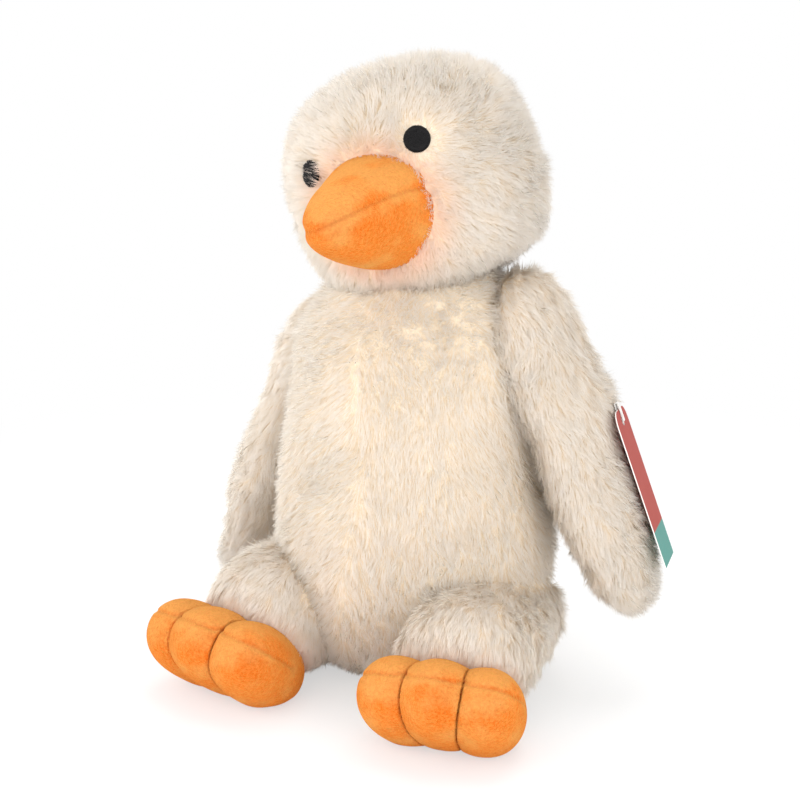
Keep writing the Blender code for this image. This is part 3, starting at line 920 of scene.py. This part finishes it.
# %% [markdown]
# ## Short plush
#
# The beak and the feet are a short, close plush whose pile is only a millimetre or two. From a step
# away it reads as a velvety surface with a fine grain, so the pile is bump and sheen, not strands.
# The nap lies in patches that are lighter or deeper as the light catches them, and faces that
# point up are painted lighter, as light from above falls on them.

# %% Plush material
ORANGE = (0.98, 0.185, 0.006, 1)
DEEP_ORANGE = (0.48, 0.040, 0.002, 1)
PEACH = (0.99, 0.40, 0.10, 1)


def nap_colour(graph, place):
    nap = attribute(graph, "nap")
    # Painted light: faces that point up lean towards peach, as light from above falls on them.
    broad = graph.steps(graph.speckle(place, 55.0, 2.0) + nap * 0.35, 0.42, 0.80)
    fine = graph.steps(graph.speckle(place, 700.0, 3.0, 0.65), 0.38, 0.62)
    groove = attribute(graph, "groove")
    base = graph.mix(broad * 0.9, ORANGE, PEACH)
    deep = graph.mix(0.16, base, DEEP_ORANGE)
    grain = graph.mix(fine, deep, graph.mix(0.30, base, PEACH))
    # Painted shade: the grooves and the seams are darkened to deep orange.
    return graph.mix(groove * 0.95, grain, DEEP_ORANGE)


def nap_bump(graph, place):
    coarse = graph.speckle(place, 480.0, 3.0, 0.65)
    fine = graph.speckle(place, 1500.0, 2.0, 0.6)
    groove = attribute(graph, "groove")
    return coarse * 0.75 + fine * 0.35 - groove * 0.35


plush_finish = finish_material(
    "short_plush", nap_colour, 0.85, nap_bump, 0.0045,
    Sheen_Weight=0.75, Sheen_Roughness=0.35, Sheen_Tint=(1.0, 0.58, 0.12, 1),
    Specular_IOR_Level=0.15,
)


# %% [markdown]
# ## The beak
#
# Two panels, one above the other, meet in a seam that runs round both sides to the tip and bows up
# on its way. The seam is carved as a shallow channel after the stuffing, and darkened along its line
# with painted shade.

# %% Beak
BEAK_RISE = 0.0050  # how far the seam bows up between the face and the tip
beak_up = math.copysign(1.0, (beak.place.to_3x3() @ Vector((0, 1, 0))).z)


def beside_seam(point):
    """How far a point of the beak lies above its seam, which bows up on its way to the tip."""
    local = beak.place.inverted() @ point
    share = clamp(local.z / beak.above)
    return local.y * beak_up - BEAK_RISE * math.sin(math.pi * share)


def beak_channel(point):
    share = (beak.place.inverted() @ point).z / beak.above
    return 0.0013 * clamp(share / 0.3) * bell(beside_seam(point), 0.0032)


def beak_held(point):
    share = (beak.place.inverted() @ point).z / beak.above
    return abs(beside_seam(point)) < 0.0022 or share < 0.05


beak_mesh = stuff(skin_mesh("beak", beak, 128, 96, grow=0.0002, lump=0.0), beak_held)
carve(beak_mesh, beak_channel, 0.0006)
beak_mesh.name = "beak_plush"
# Painted shade along the beak's seam.
store(beak_mesh, "groove", [
    0.35 * bell(beside_seam(vertex.co), 0.0010) for vertex in beak_mesh.vertices
])
# Painted light from above: how much each face of the beak points up.
store(beak_mesh, "nap", [max(0.0, vertex.normal.z) for vertex in beak_mesh.vertices])
beak_piece = new_piece("beak_plush", beak_mesh, plush_finish)
print("beak:", len(beak_mesh.polygons), "faces")

# %% [markdown]
# ## The feet
#
# A foot is three toes sewn from one bag. The thread that parts the toes is pulled tight, so each toe
# is a fat lobe with a deep groove beside it. The stuffing step joins the lobes, and then the grooves
# and the seam across the toes are carved and darkened with painted shade.

# %% Feet
TOE_SEAM = 0.006  # height of the seam across the toes, in the foot's own frame


def toe_depth(bag, point):
    """How deep a point lies in a toe, as a share: 1 on its surface, less inside."""
    local = bag.place.inverted() @ point
    power = 2 / bag.squareness
    reach = math.hypot(local.x / (bag.width / 2), local.y / (bag.depth / 2))
    return (reach**power + abs(local.z / bag.above) ** power) ** (bag.squareness / 2)


def foot_mesh(word, side):
    pieces = []
    for bag in feet[word]:
        pieces.append(new_piece("toe", skin_mesh("toe", bag, 64, 48, grow=-0.0002, lump=0.0)))
    with bpy.context.temp_override(
        active_object=pieces[0], object=pieces[0],
        selected_objects=pieces, selected_editable_objects=pieces,
    ):
        bpy.ops.object.join()
    joined = pieces[0].data
    bpy.data.objects.remove(pieces[0])

    def held(point):
        first, second, _ = sorted(toe_depth(bag, point) for bag in feet[word])
        return second - first < 0.07

    mesh = stuff(joined, held, voxel=0.0020)
    mesh.name = f"foot_{word}_plush"
    inverse = foot_place(side).inverted()
    groove_shades, moves = [], []
    for vertex in mesh.vertices:
        first, second, _ = sorted(toe_depth(bag, vertex.co) for bag in feet[word])
        apart = second - first
        filled = 0.0012 * bell(apart, 0.30) - 0.0034 * bell(apart, 0.026)
        moves.append(vertex.normal * filled)
        local = inverse @ vertex.co
        level = TOE_SEAM + 0.0025 * bell(apart, 0.10)
        across = bell(local.z - level, 0.0012) * (local.y < 0.012)
        moves[-1] -= vertex.normal * 0.0009 * across
        # Painted shade: darkest deep in a groove between toes, and a little along the seam across
        # them.
        groove_shades.append(max(min(1.0, 1.3 * bell(apart, 0.020)), across * 0.25))
    shift(mesh, moves)
    store(mesh, "groove", groove_shades)
    # Painted light from above: how much each face of the foot points up.
    store(mesh, "nap", [max(0.0, vertex.normal.z) for vertex in mesh.vertices])
    mesh.shade_smooth()
    return mesh


foot_pieces = {}
for word, side in SIDES.items():
    foot_pieces[word] = new_piece(f"foot_{word}_plush", foot_mesh(word, side), plush_finish)
    print("foot", word, len(foot_pieces[word].data.polygons), "faces")

# %% [markdown]
# ## Embroidered eyes
#
# An eye is a disc of satin stitches: short parallel threads that overlap, ringed by stitches that
# point outwards and leave a ragged edge. Geometry Nodes lay one small thread on every point.

# %% Eye frames
def eye_frame(word):
    """A frame on the head's surface at an eye, with +Z out of the head."""
    spot = eye_spots[word]
    local = head.place.inverted() @ spot
    step = 0.002
    axes = []
    for beside in (Vector((step, 0, 0)), Vector((0, 0, step))):
        base = local + beside
        axes.append(on_face(base.x, base.z, HEAD["depth"]) - spot)
    normal = axes[0].cross(axes[1]).normalized()
    return Matrix.Translation(spot) @ normal.to_track_quat("Z", "Y").to_matrix().to_4x4()


def thread_object():
    """A stitch: a plump lozenge of eight faces, one unit long along X."""
    points = [(-0.5, 0, 0), (0.5, 0, 0)]
    for x in (-0.3, 0.3):
        points += [(x, 0.5, 0), (x, 0, 0.5), (x, -0.5, 0), (x, 0, -0.5)]
    faces = []
    for here in range(4):
        there = (here + 1) % 4
        faces.append((0, 2 + there, 2 + here))
        faces.append((1, 6 + here, 6 + there))
        faces.append((2 + here, 2 + there, 6 + there, 6 + here))
    mesh = bpy.data.meshes.new("thread")
    mesh.from_pydata(points, [], faces)
    mesh.shade_smooth()
    return new_piece("thread", mesh)


thread_finish = finish_material(
    "black_thread", mottled(2500.0, (0.003, 0.003, 0.003, 1), (0.012, 0.011, 0.012, 1)),
    0.36, grain(4000.0), 0.0001, Specular_IOR_Level=0.18,
)


def stitching_tree():
    graph, given = start_tree("stitch a disc", {
        "Thread": "Object", "Radius": "Float", "Spacing": "Float", "Finish": "Material",
        "Seed": "Int",
    })
    filled = {"fill_type": "NGON"}
    disc = graph.add("GeometryNodeMeshCircle", filled, Vertices=64, Radius=given["Radius"])
    rows, *_ = graph.add(
        "GeometryNodeDistributePointsOnFaces", {"distribute_method": "POISSON"}, Mesh=disc,
        Distance_Min=given["Spacing"], Density_Max=6e6, Seed=given["Seed"],
    )
    edge = graph.add("GeometryNodeMeshCircle", {}, Vertices=58, Radius=given["Radius"])
    edge = graph.add("GeometryNodeMeshToPoints", {}, edge)
    place = graph.add("GeometryNodeInputPosition", {})
    thread = graph.add("GeometryNodeObjectInfo", {}, given["Thread"])[-1]
    lay = aimed(graph, "X", chance(graph, (0.75, -0.5, 0), (1, 0.5, 0), 2))
    size = graph.add("ShaderNodeCombineXYZ", {}, 0.0030, 0.00060, 0.0007)
    inner = planted(graph, rows, thread, lay, size)
    reach = graph.add("ShaderNodeCombineXYZ", {}, chance(graph, 0.0022, 0.0036, 6), 0.00065, 0.0007)
    ring = planted(graph, edge, thread, aimed(graph, "X", place), reach)
    joined = graph.add("GeometryNodeJoinGeometry", {}, inner)
    graph.tree.links.new(ring.socket, joined.socket.node.inputs[0])
    joined = graph.add("GeometryNodeRealizeInstances", {}, joined)
    joined = graph.add("GeometryNodeSetMaterial", {}, Geometry=joined, Material=given["Finish"])
    graph.add("NodeGroupOutput", {}, joined)
    return graph


EYE_RADIUS = EYE["diameter"] / 2
EYE_RISE = 0.0012  # how far the middle of an eye stands out

thread = thread_object()
stitching = stitching_tree()
eye_pieces = {}
for word in SIDES:
    pad = bmesh.new()
    bmesh.ops.create_uvsphere(pad, u_segments=48, v_segments=16, radius=1.0)
    pad_size = Vector((EYE_RADIUS - 0.0005, EYE_RADIUS - 0.0005, EYE_RISE))
    bmesh.ops.scale(pad, vec=pad_size, verts=pad.verts)
    pad_mesh = bpy.data.meshes.new("pad")
    pad.to_mesh(pad_mesh)
    pad.free()
    host = new_piece("host", pad_mesh)
    stitches = run_tree(
        stitching, host, "stitches", Thread=thread, Radius=EYE_RADIUS - 0.0018,
        Spacing=0.00050, Finish=thread_finish, Seed=3,
    )
    for vertex in stitches.vertices:
        out = min(1.0, math.hypot(vertex.co.x, vertex.co.y) / EYE_RADIUS)
        vertex.co.z += EYE_RISE * math.sqrt(1 - out * out)
    form = bmesh.new()
    form.from_mesh(stitches)
    form.from_mesh(pad_mesh)
    form.transform(eye_frame(word) @ Matrix.Translation((0, 0, -EYE["sink"])))
    mesh = bpy.data.meshes.new("eye")
    form.to_mesh(mesh)
    form.free()
    mesh.shade_smooth()
    bpy.data.objects.remove(host)
    eye_pieces[word] = new_piece(f"eye_{word}_stitches", mesh, thread_finish)
    print("eye", word, len(mesh.polygons), "faces")

for tool in (strand, thread):
    bpy.data.objects.remove(tool)

# %% [markdown]
# ## Card, ribbon, filling and squeaker
#
# These CAD solids have the right shape, so they keep it and get a proper finish. The card is printed
# a plain red with a teal end, and its cut edges are white. Nothing is written on it.

# %% Finishes of the CAD nodes that stay
BESIDE_CARD = 0.001
UNDER_CARD = -0.0004


def tag_frame():
    """The card's own frame: x across it, y up it, and z through its thickness."""
    wing = wings["left"]
    out = wing.place.to_3x3() @ Vector((math.cos(TAG["turn"]), math.sin(TAG["turn"]), 0))
    up = wing.place.to_3x3() @ Vector((0, 0, 1))
    across = up.cross(out)
    corners = [vertex.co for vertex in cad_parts["tag_card"].data.vertices]
    origin = (
        out * min(out.dot(corner) for corner in corners)
        + up * max(up.dot(corner) for corner in corners)
        + across * sum(f(across.dot(corner) for corner in corners) for f in (min, max)) / 2
    )
    return Matrix.Translation(origin) @ Matrix((across, up, out)).transposed().to_4x4()


card_place = tag_frame()


def press_under_card(mesh):
    """Lays the strands that stand in the card's way flat under it."""
    inverse = card_place.inverted()
    for vertex in mesh.vertices:
        local = inverse @ vertex.co
        across = abs(local.x) < TAG["width"] / 2 + BESIDE_CARD
        along = -TAG["length"] - BESIDE_CARD < local.y < BESIDE_CARD
        if across and along and local.z > UNDER_CARD:
            vertex.co = card_place @ Vector((local.x, local.y, UNDER_CARD))


for piece in furs["wing_left"]:
    press_under_card(piece.data)


def in_card(graph, place):
    """A place in the card's own frame, as x, y and z."""
    inverse = card_place.inverted()
    moved = graph.add(
        "ShaderNodeMapping", {"vector_type": "POINT"}, place, tuple(inverse.translation),
        tuple(inverse.to_euler()), (1, 1, 1),
    )
    return graph.add("ShaderNodeSeparateXYZ", {}, moved)


def card_colour(graph, place):
    x, y, z = in_card(graph, place)
    end = graph.steps(-y, TAG["length"] - 0.0205, TAG["length"] - 0.0200, smooth=False)
    cloud = graph.speckle(place, 90.0)
    print_colour = graph.mix(end, (0.36, 0.055, 0.042, 1), (0.075, 0.27, 0.235, 1))
    print_colour = graph.mix(cloud * 0.06, print_colour, (0.7, 0.4, 0.35, 1))
    behind = graph.steps(z, 0.00062, 0.00066, smooth=False)
    inner = graph.steps(z, 0.00004, 0.00008, smooth=False) * (1 - behind)
    return graph.mix(inner, print_colour, (0.86, 0.85, 0.82, 1))


card_finish = finish_material(
    "printed_card", card_colour, 0.6, grain(700.0, 3.0), 0.00006, Specular_IOR_Level=0.15
)
ribbon_finish = finish_material(
    "ribbon", mottled(1800.0, (0.62, 0.60, 0.57, 1), (0.82, 0.80, 0.77, 1)),
    0.5, grain(2600.0), 0.0002, Sheen_Weight=0.3,
)
fibre_finish = finish_material(
    "fibre_fill", mottled(300.0, (0.78, 0.78, 0.76, 1), (0.93, 0.93, 0.91, 1), 4.0),
    0.9, grain(500.0, 5.0, 0.7), 0.002, Sheen_Weight=0.3,
)
squeaker_finish = finish_material(
    "squeaker_plastic", mottled(80.0, (0.80, 0.81, 0.79, 1), (0.88, 0.89, 0.87, 1)),
    0.38, grain(400.0), 0.0001,
)


def finish_node(node, material):
    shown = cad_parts[node]
    if not shown.material_slots:
        shown.data.materials.append(material)
    for slot in shown.material_slots:
        slot.material = material


finish_node("tag_card", card_finish)
finish_node("tag_loop", ribbon_finish)
finish_node("squeaker", squeaker_finish)
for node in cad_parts:
    if node.endswith("stuffing"):
        finish_node(node, fibre_finish)

# %% [markdown]
# ## Which piece stands for what
#
# Every piece rides on the toy's one body. Each skin and each plush piece takes the place of the CAD
# panels that it hides.

# %% Ride and replace
PANELS = {
    "body": ("body_base", "body_front_left", "body_front_right", "body_back"),
    "head": ("head_left", "head_right"),
    "wing_left": ("wing_left_outer", "wing_left_inner"),
    "wing_right": ("wing_right_outer", "wing_right_inner"),
    "leg_left": ("leg_left",),
    "leg_right": ("leg_right",),
}
for word, (backing, pelt) in furs.items():
    for piece in (backing, pelt):
        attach(piece, "root")
    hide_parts(*PANELS[word])
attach(beak_piece, "root")
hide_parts("beak_upper", "beak_lower")
for word in SIDES:
    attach(foot_pieces[word], "root")
    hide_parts(f"foot_{word}_top", f"foot_{word}_sole")
    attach(eye_pieces[word], "root")
    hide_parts(f"eye_{word}")

# %% [markdown]
# ## Floor and light
#
# Large, soft lamps light the duck from the front, from both sides and from above, as in a product
# studio. The floor is pale and shows white to the camera, and keeps a faint shadow near the duck.

# %% Floor
FLOOR_SIZE = 6.0


def seen_by_camera(graph):
    """1 for a ray from the camera or from a gloss, and 0 for the light that the rest gets."""
    rays = graph.add("ShaderNodeLightPath", {})
    return rays[0].sum("MAXIMUM", rays[0], rays[3])


def floor_material():
    material = bpy.data.materials.new("studio_floor")
    material.use_nodes = True
    graph = Graph(material.node_tree)
    surface = material.node_tree.nodes["Principled BSDF"]
    output = material.node_tree.nodes["Material Output"]
    surface.inputs["Base Color"].default_value = (0.90, 0.90, 0.90, 1)
    surface.inputs["Roughness"].default_value = 0.9
    _, _, _, place, *_ = graph.add("ShaderNodeTexCoord", {})
    far = graph.steps(graph.vector("LENGTH", place), 0.20, 0.55)
    seen = seen_by_camera(graph)
    glow = graph.add("ShaderNodeEmission", {}, (1, 1, 1, 1), 1.0)
    shader = Wire(graph, surface.outputs[0])
    mixed = graph.add("ShaderNodeMixShader", {}, seen * (0.55 + 0.45 * far), shader, glow)
    material.node_tree.links.new(mixed.socket, output.inputs["Surface"])
    return material


floor_mesh = bpy.data.meshes.new("floor")
half = FLOOR_SIZE / 2
corners = [(-half, -half, 0), (half, -half, 0), (half, half, 0), (-half, half, 0)]
floor_mesh.from_pydata(corners, [], [(0, 1, 2, 3)])
floor = new_piece("floor", floor_mesh, floor_material())

# %% World
world = bpy.data.worlds.new("studio")
bpy.context.scene.world = world
world.use_nodes = True
sky = Graph(world.node_tree)
background = world.node_tree.nodes["Background"]
background.inputs["Color"].default_value = (1, 1, 1, 1)
strength = 0.92 + 0.08 * seen_by_camera(sky)
world.node_tree.links.new(strength.socket, background.inputs["Strength"])
bpy.context.scene.view_settings.view_transform = "Standard"

# %% Lamps
LAMP_AIM = Vector((0, 0, 0.16))


def lamp(name, place, size, power, colour=(1, 1, 1)):
    """A square area lamp that looks at the middle of the duck."""
    light = bpy.data.lights.new(name, "AREA")
    light.size = size
    light.energy = power
    light.color = colour
    holder = bpy.data.objects.new(name, light)
    holder.location = place
    aim = LAMP_AIM - Vector(place)
    holder.rotation_mode = "QUATERNION"
    holder.rotation_quaternion = aim.to_track_quat("-Z", "Y")
    bpy.context.scene.collection.objects.link(holder)


lamp("key", (-0.35, -1.25, 1.05), 0.9, 4.2, (1.0, 0.99, 0.97))
lamp("right_fill", (1.35, -0.75, 0.55), 1.0, 8.0)
lamp("left_fill", (-1.35, -0.75, 0.45), 1.0, 10.0)
lamp("front", (0.55, -1.35, 0.35), 1.0, 4.4)
lamp("top", (0.0, 0.35, 1.5), 1.0, 8.5)
